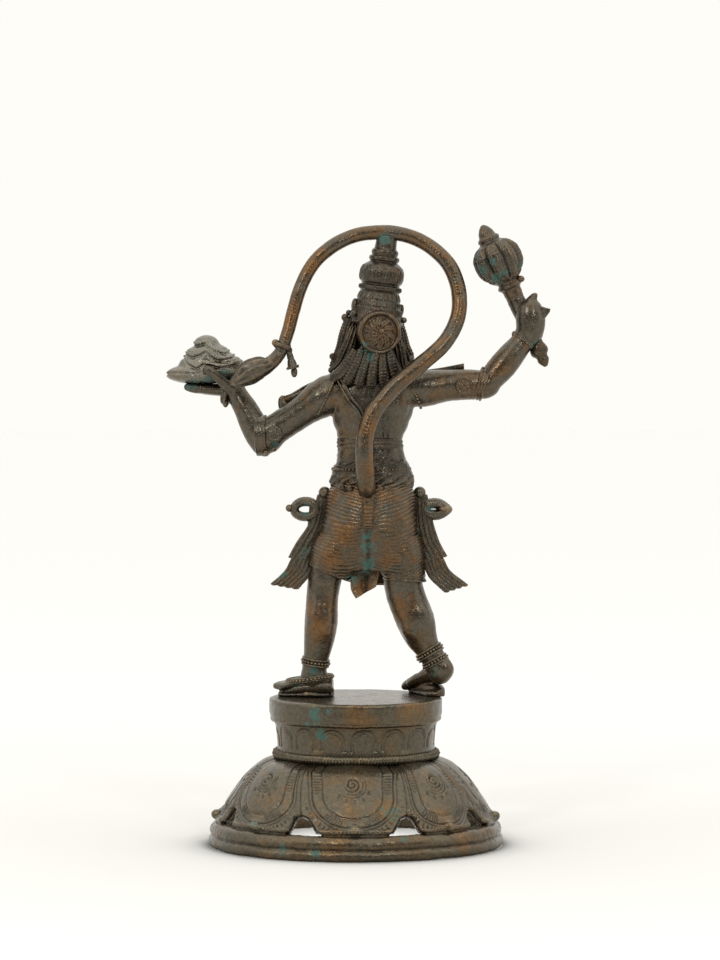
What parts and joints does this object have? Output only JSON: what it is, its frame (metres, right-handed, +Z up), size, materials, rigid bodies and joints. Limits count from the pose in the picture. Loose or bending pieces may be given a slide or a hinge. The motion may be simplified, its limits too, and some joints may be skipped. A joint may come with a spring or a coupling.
{
  "type": "hanuman figure",
  "caption": "Cast bronze striding monkey deity lifting a mace and a mountain, its tail arched over the crown, on a pierced lotus pedestal.",
  "frame": {"origin": "centre of the pedestal's underside, on the surface it stands on", "axes": "+Z up, the figure faces -Y, the mace is on the -X side and the mountain on the +X side"},
  "size_m": [0.1997, 0.1527, 0.3203],
  "materials": {
    "figure_bronze": "dark patina, worn bright on raised places, with green verdigris in some hollows",
    "pedestal_bronze": "dark olive-brown patina, worn on edges, with green verdigris spots"
  },
  "bodies": {
    "root": {"lotus_pedestal": "pedestal_bronze", "hanuman_figure": "figure_bronze"}
  },
  "joints": []
}
